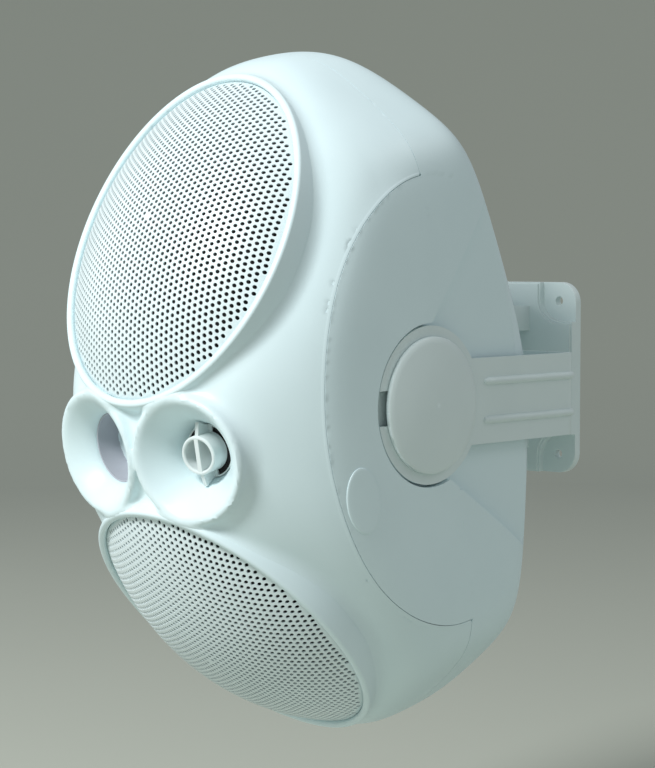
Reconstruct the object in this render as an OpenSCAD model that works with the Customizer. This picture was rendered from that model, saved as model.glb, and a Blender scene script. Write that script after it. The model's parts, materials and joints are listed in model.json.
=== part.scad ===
// Wall loudspeaker: a pillow-shaped cabinet with two woofers, a horn tweeter and a bass port,
// held by a U-shaped yoke that tilts the cabinet and pans on a wall plate.
// The origin is the centre of the wall plate's back face. The front looks along -Y.

/* [Cabinet] */
// Distance from the cabinet's centre to each cheek plane
cheek_plane = 91.5; // [90:0.5:93]
// Distance from the cabinet's centre to its top and bottom planes
end_plane = 187.4; // [184:0.2:192]
// Slope of each front face from the vertical, in degrees
front_slope = 35; // [34.5:0.1:35.5]
// Distance from the cabinet's centre to each front face
front_plane = 127.5; // [127:0.1:128.5]
// Distance from the cabinet's centre to the waist between the front faces
waist_plane = 131; // [130.5:0.1:132]
// Distance from the cabinet's centre to the flat of the back
back_plane = 97; // [96:0.5:98]
// Hardness of the rounding between the planes
hardness = 17; // [16:0.5:18]
// Wall thickness of both mouldings
wall = 3; // [2.6:0.1:3.2]
// Gap of the seam between baffle and rear shell
seam_gap = 0.3; // [0.2:0.1:0.5]
// Tilt of the cabinet at rest, front downwards, in degrees
rest_tilt = 10.6; // [6:0.2:14]

/* [Grilles] */
// Half width of each grille
grille_half_w = 71.2; // [70:0.2:72]
// Half height of each grille
grille_half_h = 88.7; // [87:0.1:89.5]
// Height of the grille's dome over its edge
grille_dome = 26; // [20:1:28]
// Thickness of the perforated sheet
grille_sheet = 1.2; // [0.8:0.1:1.6]
// Diameter of one modelled perforation
hole_d = 5.6; // [4:0.2:6.5]
// Pitch of the modelled perforations
hole_pitch = 13; // [12.6:0.2:16]

/* [Horns] */
// Half distance between the centres of the horn mouths
horn_x = 32.9; // [32.7:0.1:34]
// Distance of the horn mouths in front of the cabinet's centre
horn_y = 131.7; // [131:0.1:133]
// Outward turn of each horn, in degrees
horn_splay = 9.7; // [9:0.1:10.5]
// Outer radius of the horn lip
horn_r = 32.2; // [31.4:0.1:32.4]
// Radius of the horn throat
throat_r = 14; // [13.5:0.1:14.5]
// Depth from the horn mouth to the throat
horn_depth = 24; // [23:0.5:25]
// Radius of the bass port, whose mouth is the left one
port_r = 18.4; // [17.5:0.1:19]
// Depth from the left mouth to the start of the port's straight tube
port_mouth = 13.6; // [12.6:0.2:15]
// Depth from the left mouth to the inner end of the port
port_len = 75; // [60:1:80]

/* [Woofers] */
// Radius of the woofer's mounting flange
basket_r = 59; // [58:0.5:60]
// Radius of the magnet
magnet_r = 35; // [33:0.5:36]
// Inner radius of the voice coil's former
coil_r = 13; // [12.8:0.1:13.4]
// Radius at which the cone meets its surround
cone_r = 44; // [43:0.5:46]

/* [Bracket] */
// Distance from the wall to the tilt axis
pivot_out = 179.2; // [179:0.2:184]
// Drop of the tilt axis below the middle of the wall plate
pivot_drop = 5; // [3:0.5:6]
// Distance from the tilt axis to the back of the yoke
yoke_reach = 128.6; // [128:0.2:129]
// Wall thickness of the yoke
yoke_t = 3.8; // [3.4:0.1:4]
// Height of the yoke's arms
arm_h = 45.6; // [44:0.2:46]
// Radius of the round head of each arm
head_r = 41; // [40.5:0.1:41.5]
// Width of the slot in the front of the head
slot_w = 17.8; // [17:0.1:19]
// Radius of the pivot cover
cover_r = 35.4; // [34:0.1:36]
// Width of the wall plate
plate_w = 114; // [112:1:120]
// Height of the wall plate
plate_h = 112; // [110:1:118]
// Depth of the wall plate at its middle
plate_t = 10; // [9.5:0.5:11]
// Distance between the wall screws, both ways
screw_pitch = 90; // [88:0.5:92]
// Diameter of the wall screw holes
screw_hole_d = 5.2; // [4.5:0.1:6]
// Radius of the pan pin
pan_pin_r = 5; // [4:0.5:6]

/* [Hidden] */
$fn = 64;

// Running and seating clearances
fit_gap = 0.05;
seat_gap = 0.3;

// Side flats, corner flats and rear slopes that give the cabinet its form
flank_turn = 36;
flank_plane = 136;
waist_turn = 48.1;
waist_flank_plane = 127.4;
corner_turn = 46.8;
corner_plane = 158;
rear_slope = 19;
rear_plane = 95;
rear_turn = 71.4;
rear_flank_plane = 106.6;

// Place of the tilt axis seen from the cabinet's centre
pivot_ahead = 9;
pivot_up = 1.9;

// Seam between baffle and rear shell
seam_y = 6;
cheek_len = 91.5;
cheek_half_h = 118.5;

// Recess in each cheek for the arm and its swing
cheek_recess = 6.2;
recess_floor = cheek_plane - cheek_recess;
recess_clear = 1.4;
swing_half = 42;
swing_offset = arm_h/2 + 2.7;

// Stack of pieces at the pivot, outwards from the floor of the recess
friction_t = 1.4;
arm_in = recess_floor + friction_t + 0.1;
arm_out = arm_in + yoke_t;
boss_len = 14;
bush_r = slot_w/2 - fit_gap;
clamp_screw_r = 4;
clamp_washer_t = 1.2;
cover_edge = 2.6;
cover_rise = 3;

// Grille seat: depths are distances from the cabinet's centre
grille_up = 37.6;
dome_r = (grille_half_w*grille_half_w + grille_dome*grille_dome)/(2*grille_dome);
rim_plane = front_plane - 2;
seat_floor = 113;
seat_wall = 3;
edge_gap = 0.6;

// Pan hinge
pan_out = 22;
lug_h = 14.5;
lug_gap = 54.8;
lug_r = 27;
lug_out = 10;
pocket_w = 23;
pocket_floor = 5;
hub_r = 11.6;
hub_gap = 0.2;

// Woofer: distances from the cabinet's centre along the axis of the grille
gasket_t = 0.9;
flange_z = seat_floor + gasket_t + 0.15;
flange_t = 2.4;
cone_edge_z = flange_z + flange_t - 0.4;
cone_neck_z = cone_edge_z - 20;
plate_back_z = 77;
plate_top_z = 82;
magnet_back_z = 62;
pole_back_z = 57;
spider_z = 88;
cone_travel = 2.5;

// Tweeter: depths behind the mouth of the horn
tweeter_flange_r = 21.5;
tweeter_can_r = 15.4;
tweeter_screw_r = 18;

// Joining screws of the two mouldings
post_x = 45;
post_z = 150;
shell_screw_r = 2.1;

// Terminal cup on the lower slope of the back
terminal_down = 31;
cup_r = 22;
cup_depth = 18;
tab_x = 9;
tab_w = 13;
tab_pin_r = 1.5;
tab_pin_z = -4;

// Blank disc: half sizes, place on the cheek, turn of the surface there, thickness
disc_half_h = 17.3;
disc_half_w = 11;
disc_x = 90.15;
disc_y = -68;
disc_z = -33;
disc_turn = 5.7;
disc_t = 1.3;
disc_gap = 0.25;

// Crossover board
board_y = 76;
board_w = 88;
board_h = 66;
board_mid = 8;
board_t = 1.6;

function dot_sum(v) = v * [for (x = v) 1];
function both(n, d) = [[n, d], [[n[0], n[1], -n[2]], d]];
function four(n, d) = concat(both(n, d), both([-n[0], n[1], n[2]], d));
PLANES = concat(
  [[[0, -1, 0], waist_plane], [[0, 1, 0], back_plane]],
  [[[1, 0, 0], cheek_plane], [[-1, 0, 0], cheek_plane]],
  both([0, 0, 1], end_plane),
  both([0, -cos(front_slope), sin(front_slope)], front_plane),
  both([0, cos(rear_slope), sin(rear_slope)], rear_plane),
  [for (s = [-1, 1]) [[s*sin(waist_turn), -cos(waist_turn), 0], waist_flank_plane]],
  [for (s = [-1, 1]) [[s*sin(rear_turn), cos(rear_turn), 0], rear_flank_plane]],
  four([cos(corner_turn), 0, sin(corner_turn)], corner_plane),
  four([sin(flank_turn), -cos(flank_turn)*cos(front_slope), cos(flank_turn)*sin(front_slope)],
    flank_plane));

// Distance from the centre to the rounded surface along a direction
function reach(dir, inset) =
  pow(dot_sum([for (p = PLANES) pow(max(0, dir * p[0]/(p[1] - inset)), hardness)]), -1/hardness);
function on_body(th, ph, inset) =
  let (dir = [sin(th)*cos(ph), sin(th)*sin(ph), cos(th)]) dir * reach(dir, inset);
function ellipse(a, b, n) = [for (i = [0:n - 1]) [a*cos(360*i/n), b*sin(360*i/n)]];

// Frames of the moving groups
module at_pivot() translate([0, -pivot_out, -pivot_drop]) children();
module in_cabinet()
  at_pivot() rotate([rest_tilt, 0, 0]) translate([0, pivot_ahead, -pivot_up]) children();
module in_cabinet_pivot() in_cabinet() translate([0, -pivot_ahead, pivot_up]) children();
// s is 1 for the upper woofer and -1 for the lower one; Z then points out of the grille
module on_face(s) rotate([90 - s*front_slope, 0, 0]) translate([0, s*grille_up, 0]) children();
// s is 1 for the right mouth, the horn, and -1 for the left one, the port; Z points out of it
module on_horn(s)
  translate([s*horn_x, -horn_y, 0]) rotate([0, 0, s*horn_splay]) rotate([90, 0, 0]) children();
module to_side(s) rotate([0, s*90, 0]) children();

// Rounded cabinet as one closed skin, drawn inwards by inset
module body_skin(inset, rows, cols) {
  pts = concat(
    [on_body(0, 0, inset)],
    [for (i = [1:rows - 1]) for (j = [0:cols - 1]) on_body(180*i/rows, 360*j/cols, inset)],
    [on_body(180, 0, inset)]);
  last = 1 + (rows - 1)*cols;
  function at(i, j) = 1 + i*cols + j % cols;
  faces = concat(
    [for (j = [0:cols - 1]) [0, at(0, j + 1), at(0, j)]],
    [for (i = [0:rows - 3]) for (j = [0:cols - 1]) each
      [[at(i, j), at(i, j + 1), at(i + 1, j + 1)], [at(i, j), at(i + 1, j + 1), at(i + 1, j)]]],
    [for (j = [0:cols - 1]) [last, at(rows - 2, j), at(rows - 2, j + 1)]]);
  polyhedron(pts, faces, convexity = 6);
}

// Region of one cheek that belongs to the rear shell, as a prism along X
module cheek_prism(grow)
  translate([-150, seam_y, 0]) rotate([90, 0, 90])
    linear_extrude(height = 300)
      polygon(ellipse(cheek_len + grow, cheek_half_h + grow, 72));

// Recess for the round head and the swing of one arm, from x0 outwards
module arm_recess(s, x0, grow) {
  offset_in = swing_offset + grow;
  near = [-offset_in*sin(swing_half), offset_in*cos(swing_half)];
  far = near + 170*[cos(swing_half), sin(swing_half)];
  translate([s > 0 ? x0 : -x0 - 60, -pivot_ahead, pivot_up]) {
    rotate([0, 90, 0]) cylinder(r = head_r + recess_clear + grow, h = 60);
    rotate([90, 0, 90]) linear_extrude(height = 60)
      polygon([near, far, [far[0], -far[1]], [near[0], -near[1]]]);
  }
}

// Raised bezel round one grille: a ring whose skirt runs down into the rounded body
function face_to_body(s, p) =
  [p[0], (p[1] + s*grille_up)*sin(front_slope)*s - p[2]*cos(front_slope),
    s*p[2]*sin(front_slope) + (p[1] + s*grille_up)*cos(front_slope)];
function foot(s, i, n, out, inset) =
  let (q = face_to_body(s, [(grille_half_w + out)*cos(360*i/n), (grille_half_h + out)*sin(360*i/n),
    rim_plane - 13]))
  q/norm(q)*reach(q/norm(q), inset);
module bezel_ring(s, n) {
  low = [[0.8, seat_floor - 1], [0.8, rim_plane + 1.2], [1.8, rim_plane + 2.4],
    [3.2, rim_plane + 2.4], [4.4, rim_plane + 1.2], [5.4, rim_plane - 3]];
  m = len(low) + 2;
  pts = [for (i = [0:n - 1]) each concat(
    [for (p = low) face_to_body(s,
      [(grille_half_w + p[0])*cos(360*i/n), (grille_half_h + p[0])*sin(360*i/n), p[1]])],
    [foot(s, i, n, 9, -0.6), foot(s, i, n, 13, 1.5)])];
  function at(i, k) = (i % n)*m + k % m;
  faces = [for (i = [0:n - 1]) for (k = [0:m - 1]) each
    [[at(i, k), at(i + 1, k + 1), at(i, k + 1)], [at(i, k), at(i + 1, k), at(i + 1, k + 1)]]];
  polyhedron(pts, faces, convexity = 6);
}

module ellipse_slab(a, b, z0, z1)
  translate([0, 0, z0]) linear_extrude(height = z1 - z0) polygon(ellipse(a, b, 64));

// Flare of the horn: radius at a depth behind the mouth
function flare(d) = throat_r + (horn_r - 3 - throat_r)*pow(1 - d/horn_depth, 1.5);
module horn_air() {
  steps = 10;
  rotate_extrude() polygon(concat([[0, 6], [horn_r - 0.2, 6], [horn_r - 1.6, 0]],
    [for (i = [0:steps]) [flare(i*horn_depth/steps), -i*horn_depth/steps]],
    [[0, -horn_depth]]));
}
// Air of the left mouth: a flare that runs into the straight bore of the bass port
function port_flare(d) = port_r + (horn_r - 3 - port_r)*pow(1 - d/port_mouth, 1.5);
module port_air() {
  steps = 10;
  rotate_extrude() polygon(concat([[0, 6], [horn_r - 0.2, 6], [horn_r - 1.6, 0]],
    [for (i = [0:steps]) [port_flare(i*port_mouth/steps), -i*port_mouth/steps]],
    [[port_r, -horn_depth - wall - 1], [0, -horn_depth - wall - 1]]));
}
module horn_cup() {
  rotate_extrude() polygon([[0, -horn_depth - wall], [throat_r + 8, -horn_depth - wall],
    [horn_r + 3.5, -horn_depth], [horn_r - 0.6, -9], [horn_r, -2.4], [horn_r - 0.4, -0.8],
    [horn_r - 1.6, 0], [0, 0]]);
}

module tweeter_bores() {
  translate([0, 0, -horn_depth - wall - 1]) cylinder(r = throat_r - 1.5, h = wall + 2);
  tweeter_screw_places() translate([0, 0, -horn_depth - wall - 1])
    cylinder(r = 1.2, h = 7, $fn = 24);
}
module tweeter_screw_places()
  for (a = [90, 210, 330]) rotate(a) translate([tweeter_screw_r, 0, 0]) children();
module woofer_screw_places()
  for (a = [45:90:315]) rotate(a) translate([basket_r - 4, 0, 0]) children();
module shell_screw_places()
  for (x = [-1, 1]) for (z = [-1, 1]) translate([x*post_x, 0, z*post_z]) rotate([-90, 0, 0])
    children();
// Z points out of the lower slope of the back, Y down along it
module on_terminal()
  rotate([-90 - rear_slope, 0, 0]) translate([0, terminal_down, rear_plane]) children();
// Z points forwards off the board, Y up
module on_board() translate([0, board_y, board_mid]) rotate([90, 0, 0]) children();
module ring(r_in, r_out, z0, z1)
  difference() {
    translate([0, 0, z0]) cylinder(r = r_out, h = z1 - z0);
    translate([0, 0, z0 - 1]) cylinder(r = r_in, h = z1 - z0 + 2);
  }

// One moulding: front of the cabinet with bezels, grille seats, horn and port mouth
module front_baffle() color([0.93, 0.94, 0.95]) in_cabinet() difference() {
  union() {
    difference() {
      body_skin(0, 32, 44);
      body_skin(wall, 16, 28);
      translate([-150, seam_y - seam_gap, -250]) cube([300, 200, 500]);
      cheek_prism(seam_gap);
    }
    for (s = [-1, 1]) bezel_ring(s, 40);
    for (s = [-1, 1]) on_face(s)
      ellipse_slab(grille_half_w + edge_gap + 1, grille_half_h + edge_gap + 1,
        seat_floor - seat_wall, rim_plane - 6);
    for (s = [-1, 1]) on_horn(s) horn_cup();
    shell_screw_places() translate([0, 0, -33]) cylinder(r = 5, h = 33 + seam_y - seam_gap);
  }
  for (s = [-1, 1]) on_face(s) {
    ellipse_slab(grille_half_w + edge_gap, grille_half_h + edge_gap, seat_floor, 160);
    translate([0, 0, seat_floor - 20]) cylinder(r = basket_r - 9.5, h = 40);
    woofer_screw_places() translate([0, 0, seat_floor - seat_wall - 1])
      cylinder(r = 1.5, h = 10, $fn = 24);
  }
  on_horn(1) {
    horn_air();
    tweeter_bores();
  }
  on_horn(-1) port_air();
  shell_screw_places() translate([0, 0, -16]) cylinder(r = shell_screw_r + fit_gap, h = 30);
}

// One moulding: back and cheeks, with the recesses of the arms and every inner boss
module rear_shell() color([0.91, 0.92, 0.93]) in_cabinet() difference() {
  union() {
    difference() {
      body_skin(0, 32, 44);
      difference() {
        body_skin(wall, 16, 28);
        for (s = [-1, 1]) arm_recess(s, recess_floor - wall, wall);
      }
      difference() {
        translate([-150, seam_y - 200, -250]) cube([300, 200, 500]);
        cheek_prism(0);
      }
    }
    for (s = [-1, 1]) translate([0, -pivot_ahead, pivot_up]) to_side(s)
      translate([0, 0, recess_floor - boss_len]) cylinder(r = 14, h = boss_len - 1);
    shell_screw_places() translate([0, 0, seam_y]) cylinder(r = 7.2, h = 34);
    on_terminal() translate([0, 0, -8]) cylinder(r = cup_r + 6, h = 8);
    on_board() for (x = [-1, 1]) for (z = [-1, 1])
      translate([x*(board_w/2 - 5), z*(board_h/2 - 5), z > 0 ? -10.8 : -14.8])
        cylinder(r = 3.5, h = z > 0 ? 9.1 : 13.1);
  }
  for (s = [-1, 1]) arm_recess(s, recess_floor, 0);
  for (s = [-1, 1]) translate([0, -pivot_ahead, pivot_up]) to_side(s)
    translate([0, 0, recess_floor - boss_len - 1]) cylinder(r = bush_r + fit_gap, h = boss_len + 4);
  shell_screw_places() {
    translate([0, 0, seam_y - 1]) cylinder(r = shell_screw_r + 0.2, h = 30);
    translate([0, 0, seam_y + 3.4]) cylinder(r = 4.4, h = 80);
  }
  on_terminal() translate([0, 0, -30]) cylinder(r = cup_r + 0.3, h = 50);
  on_terminal() terminal_screw_places() translate([0, 0, -6]) cylinder(r = 1.3, h = 20, $fn = 24);
  on_board() board_screw_places() translate([0, 0, -board_t - 7]) cylinder(r = 1.25, h = 9, $fn = 24);
  side_disc_place() oval_slab(disc_gap, -disc_t - 0.1, 10);
}
module terminal_screw_places()
  for (a = [0, 180]) rotate(a) translate([cup_r + 2.6, 0, 0]) children();
module board_screw_places()
  for (x = [-1, 1]) for (z = [-1, 1]) translate([x*(board_w/2 - 5), z*(board_h/2 - 5), 0])
    children();

// Blank oval disc let into the right cheek
module side_disc_place()
  translate([disc_x, disc_y, disc_z]) rotate([0, 0, -disc_turn]) rotate([0, 90, 0]) children();
module oval_slab(grow, z0, z1)
  translate([0, 0, z0]) linear_extrude(height = z1 - z0)
    polygon(ellipse(disc_half_h + grow, disc_half_w + grow, 48));
module side_disc() color([0.9, 0.91, 0.92]) in_cabinet() side_disc_place()
  oval_slab(0, -disc_t, 0);

// Domed perforated grille with a skirt that stands in its seat
module grille_cap(drop)
  scale([1, grille_half_h/grille_half_w, 1]) translate([0, 0, -(dome_r - grille_dome)])
    sphere(r = dome_r - drop, $fn = 64);
module grille(s) color([0.9, 0.91, 0.92]) in_cabinet() on_face(s) translate([0, 0, rim_plane]) {
  difference() {
    intersection() {
      difference() {
        grille_cap(0);
        grille_cap(grille_sheet);
      }
      scale([1, grille_half_h/grille_half_w, 1]) cylinder(r = grille_half_w, h = 60, $fn = 64);
    }
    for (j = [-6:6]) for (i = [-6:6]) {
      x = hole_pitch*(i + (j % 2 == 0 ? 0 : 0.5));
      y = hole_pitch*j;
      if (pow(x/(grille_half_w - 7), 2) + pow(y/(grille_half_h - 7), 2) < 1)
        translate([x, y, -5]) cylinder(d = hole_d, h = 50, $fn = 24);
    }
  }
  difference() {
    ellipse_slab(grille_half_w - 0.15, grille_half_h - 0.15,
      seat_floor + seat_gap - rim_plane, 0.4);
    ellipse_slab(grille_half_w - 0.15 - grille_sheet, grille_half_h - 0.15 - grille_sheet, -50, 50);
  }
}
module upper_grille() grille(1);
module lower_grille() grille(-1);

// Woofers
module on_woofer(s) in_cabinet() on_face(s) children();
module basket(s) color([0.16, 0.16, 0.17]) on_woofer(s) difference() {
  rotate_extrude() polygon([[cone_r + 3.5, flange_z + flange_t],
    [basket_r, flange_z + flange_t], [basket_r, flange_z], [cone_r + 4.8, flange_z],
    [coil_r + 24, plate_top_z + 3], [coil_r + 24, plate_top_z + 0.1],
    [coil_r + 9, plate_top_z + 0.1], [coil_r + 9, plate_top_z + 2.6],
    [coil_r + 17, plate_top_z + 2.6], [coil_r + 17, spider_z - 0.9],
    [coil_r + 21.4, spider_z - 0.9], [cone_r + 2, flange_z - 1]]);
  for (a = [0:60:300]) rotate(a) translate([coil_r + 7, -10, spider_z + 1]) cube([40, 20, 18]);
  woofer_screw_places() translate([0, 0, flange_z - 1]) cylinder(r = 1.8, h = 10, $fn = 24);
}
module upper_basket() basket(1);
module lower_basket() basket(-1);
module top_plate(s) color([0.3, 0.3, 0.32]) on_woofer(s)
  ring(coil_r + 0.7, magnet_r - 3, plate_back_z, plate_top_z);
module upper_top_plate() top_plate(1);
module lower_top_plate() top_plate(-1);
module magnet(s) color([0.12, 0.12, 0.13]) on_woofer(s)
  ring(coil_r + 3, magnet_r, magnet_back_z + 0.05, plate_back_z - 0.05);
module upper_magnet() magnet(1);
module lower_magnet() magnet(-1);
module pole_piece(s) color([0.3, 0.3, 0.32]) on_woofer(s)
  rotate_extrude() polygon([[0, pole_back_z], [magnet_r - 1, pole_back_z],
    [magnet_r - 1, magnet_back_z], [coil_r - 0.35, magnet_back_z], [coil_r - 0.35, plate_top_z],
    [0, plate_top_z]]);
module upper_pole_piece() pole_piece(1);
module lower_pole_piece() pole_piece(-1);
module voice_coil(s) color([0.7, 0.4, 0.2]) on_woofer(s)
  ring(coil_r, coil_r + 0.35, plate_back_z - 7, cone_neck_z + 1.2);
module upper_voice_coil() voice_coil(1);
module lower_voice_coil() voice_coil(-1);
module cone(s) color([0.1, 0.1, 0.11]) on_woofer(s)
  rotate_extrude() polygon([[coil_r + 0.4, cone_neck_z], [coil_r + 0.4, cone_neck_z + 1.2],
    [cone_r - 1, cone_edge_z], [cone_r, cone_edge_z], [cone_r, cone_edge_z - 0.9]]);
module upper_cone() cone(1);
module lower_cone() cone(-1);
module dust_cap(s) color([0.08, 0.08, 0.09]) on_woofer(s) {
  z0 = cone_neck_z + 2.6;
  rotate_extrude() polygon(concat(
    [for (a = [0:15:75]) [15*cos(a), z0 + 5.6*sin(a)]], [[0, z0 + 5.6], [0, z0 + 4.8]],
    [for (a = [75:-15:0]) [14.2*cos(a), z0 + 4.8*sin(a)]]));
}
module upper_dust_cap() dust_cap(1);
module lower_dust_cap() dust_cap(-1);
module surround(s) color([0.05, 0.05, 0.05]) on_woofer(s) {
  mid = cone_r + 3;
  z0 = flange_z + flange_t + 0.1;
  rotate_extrude() polygon(concat(
    [[cone_r - 1.8, z0], [cone_r - 1.8, z0 + 0.5]],
    [for (a = [170:-20:10]) [mid + 3*cos(a), z0 + 0.2 + 3*sin(a)]],
    [[mid + 4.2, z0 + 0.5], [mid + 4.2, z0]],
    [for (a = [10:20:170]) [mid + 2.5*cos(a), z0 + 2.5*sin(a)]]));
}
module upper_surround() surround(1);
module lower_surround() surround(-1);
function wave(i) = i == 0 || i == 8 ? 0 : (i % 2 == 0 ? 0.7 : -0.7);
module spider(s) color([0.75, 0.6, 0.3]) on_woofer(s) {
  radii = [for (i = [0:8]) coil_r + 0.5 + i*2.25];
  rotate_extrude() polygon(concat(
    [for (i = [0:8]) [radii[i], spider_z + wave(i) - 0.25 + (i == 8 ? 0.2 : 0)]],
    [[coil_r + 20.5, spider_z - 0.05], [coil_r + 20.5, spider_z + 0.4]],
    [for (i = [8:-1:0]) [radii[i], spider_z + wave(i) + 0.25 + (i == 8 ? 0.15 : 0)]]));
}
module upper_spider() spider(1);
module lower_spider() spider(-1);
module woofer_gaskets() color([0.08, 0.08, 0.08]) for (s = [-1, 1]) on_woofer(s) difference() {
  ring(cone_r + 7, basket_r - 0.5, seat_floor + 0.05, seat_floor + 0.05 + gasket_t);
  woofer_screw_places() translate([0, 0, seat_floor - 1]) cylinder(r = 1.9, h = 6, $fn = 24);
}
module pan_head_screw(shank_r, length, head_r, head_h) {
  translate([0, 0, -length]) cylinder(r = shank_r, h = length + 0.5);
  difference() {
    cylinder(r = head_r, h = head_h);
    translate([-head_r*0.6, -0.4, head_h - 0.9]) cube([head_r*1.2, 0.8, 2]);
    translate([-0.4, -head_r*0.6, head_h - 0.9]) cube([0.8, head_r*1.2, 2]);
  }
}
module woofer_screws() color([0.15, 0.15, 0.16]) for (s = [-1, 1]) on_woofer(s)
  woofer_screw_places() translate([0, 0, flange_z + flange_t + 0.05])
    pan_head_screw(1.45, flange_z + flange_t - seat_floor + 2.6, 3.3, 2, $fn = 32);

// Tweeter and the plug in the throat of its horn
module phase_plug() color([0.92, 0.93, 0.94]) in_cabinet() on_horn(1) {
  difference() {
    union() {
      rotate_extrude() polygon([[8, -horn_depth + 1], [8, -12.4], [8.4, -11.8], [9, -11.6],
        [9.6, -11.8], [10, -12.4], [10, -horn_depth + 1]]);
      ring(2, throat_r - 0.3, -horn_depth + 0.05, -horn_depth + 1.8);
    }
    difference() {
      ring(10.2, throat_r - 1, -horn_depth - 1, -horn_depth + 3);
      translate([-3, -throat_r, -horn_depth - 2]) cube([6, 2*throat_r, 6]);
    }
  }
  translate([-1.2, -8.5, -horn_depth + 1]) cube([2.4, 17, 11.2]);
  for (m = [0, 1]) mirror([0, m, 0]) translate([-1, 0, 0]) rotate([90, 0, 90])
    linear_extrude(height = 2)
      polygon([[9.4, -horn_depth + 0.2], [13.4, -horn_depth + 0.2], [13.9, -21], [15, -18],
        [16.4, -14.8], [9.4, -12.8]]);
}
module tweeter_body() color([0.15, 0.15, 0.16]) in_cabinet() on_horn(1)
  translate([0, 0, -horn_depth - wall - 0.05]) difference() {
    rotate_extrude() polygon([[12.2, 0], [tweeter_flange_r, 0], [tweeter_flange_r, -3],
      [tweeter_can_r, -3], [tweeter_can_r, -17], [0, -17], [0, -5], [12.2, -5]]);
    tweeter_screw_places() translate([0, 0, -4]) cylinder(r = 1.4, h = 6, $fn = 24);
  }
module tweeter_dome() color([0.75, 0.75, 0.72]) in_cabinet() on_horn(1)
  translate([0, 0, -horn_depth - wall - 4]) rotate_extrude() polygon(concat(
    [[11.9, 0], [11.9, 0.5], [10.9, 0.9]], [for (a = [15:15:75]) [10.6*cos(a), 0.4 + 4.8*sin(a)]],
    [[0, 5.2], [0, 4.8]], [for (a = [75:-15:15]) [10.2*cos(a), 0.2 + 4.6*sin(a)]], [[10.6, 0]]));
module tweeter_screws() color([0.2, 0.2, 0.2]) in_cabinet() on_horn(1) tweeter_screw_places()
  translate([0, 0, -horn_depth - wall - 3.1]) mirror([0, 0, 1])
    pan_head_screw(1.15, 8.6, 2.3, 1.6, $fn = 32);

// Tube of the bass port: a flange on the back of the left cup and a flared inner end
module port_tube() color([0.9, 0.91, 0.92]) in_cabinet() on_horn(-1) {
  front = -horn_depth - wall - 0.05;
  rotate_extrude() polygon([[port_r, front], [port_r + 3.6, front], [port_r + 3.6, front - 2],
    [port_r + 2, front - 2], [port_r + 2, 5 - port_len], [port_r + 5, -port_len],
    [port_r + 3, -port_len], [port_r, 6 - port_len]]);
}

// Terminals
module tab_post(x0, x1) translate([x0, -3, -cup_depth + 1]) cube([x1 - x0, 6, cup_depth - 2.6]);
module terminal_cup() color([0.14, 0.14, 0.15]) in_cabinet() on_terminal() difference() {
  union() {
    difference() {
      union() {
        translate([0, 0, -cup_depth]) cylinder(r = cup_r, h = cup_depth + 1);
        translate([0, 0, 0.05]) cylinder(r = cup_r + 5.5, h = 2);
      }
      translate([0, 0, -cup_depth + 2]) cylinder(r = cup_r - 2, h = 40);
    }
    intersection() {
      union() {
        tab_post(-2, 2);
        tab_post(16, 21);
        tab_post(-21, -16);
      }
      translate([0, 0, -cup_depth + 1]) cylinder(r = cup_r - 1, h = cup_depth);
    }
  }
  translate([-18, 0, tab_pin_z]) rotate([0, 90, 0]) cylinder(r = tab_pin_r + fit_gap, h = 17);
  translate([1, 0, tab_pin_z]) rotate([0, 90, 0]) cylinder(r = tab_pin_r + fit_gap, h = 17);
  for (x = [-1, 1]) translate([x*tab_x, 6, -cup_depth - 1])
    cylinder(r = 1.5 + fit_gap, h = 6, $fn = 32);
  terminal_screw_places() translate([0, 0, -3]) cylinder(r = 1.6, h = 8, $fn = 24);
}
module terminal_tab(x) in_cabinet() on_terminal() translate([x*tab_x, 0, 0]) {
  translate([-tab_w/2, -10, -3.4]) cube([tab_w, 20, 3]);
  translate([-tab_w/2, -2, -5]) cube([tab_w, 4, 2]);
  translate([-tab_w/2 - 1.2, 0, tab_pin_z]) rotate([0, 90, 0])
    cylinder(r = tab_pin_r, h = tab_w + 2.4);
}
module red_terminal_tab() color([0.75, 0.05, 0.05]) terminal_tab(1);
module black_terminal_tab() color([0.06, 0.06, 0.06]) terminal_tab(-1);
module terminal_contacts() color([0.85, 0.75, 0.45]) in_cabinet() on_terminal() for (x = [-1, 1])
  translate([x*tab_x, 6, 0]) {
    translate([0, 0, -cup_depth - 6]) cylinder(r = 1.5, h = 10);
    translate([-3, -2, -cup_depth + 2.05]) cube([6, 5, 4]);
  }
module terminal_screws() color([0.2, 0.2, 0.2]) in_cabinet() on_terminal() terminal_screw_places()
  translate([0, 0, 2.1]) pan_head_screw(1.25, 7, 2.6, 1.6, $fn = 32);

// Crossover
module crossover_board() color([0.1, 0.35, 0.2]) in_cabinet() on_board() difference() {
  translate([-board_w/2, -board_h/2, -board_t]) cube([board_w, board_h, board_t]);
  board_screw_places() translate([0, 0, -5]) cylinder(r = 1.5, h = 10, $fn = 24);
}
module crossover_coils() color([0.7, 0.4, 0.2]) in_cabinet() on_board()
  for (x = [-1, 1]) translate([x*22, 14, 0.05]) ring(6, 13, 0, 13);
module crossover_capacitors() color([0.2, 0.25, 0.5]) in_cabinet() on_board()
  for (x = [-24, 0, 24]) translate([x, -22, 6.1]) rotate([90, 0, 0])
    translate([0, 0, -12]) cylinder(r = 6, h = 24);
module board_screws() color([0.6, 0.6, 0.6]) in_cabinet() on_board() board_screw_places()
  translate([0, 0, 0.05]) pan_head_screw(1.2, board_t + 6, 2.6, 1.6, $fn = 32);
module shell_screws() color([0.2, 0.2, 0.2]) in_cabinet() shell_screw_places()
  translate([0, 0, seam_y + 3.5]) pan_head_screw(shell_screw_r, 24, 4, 2.6, $fn = 32);

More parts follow.
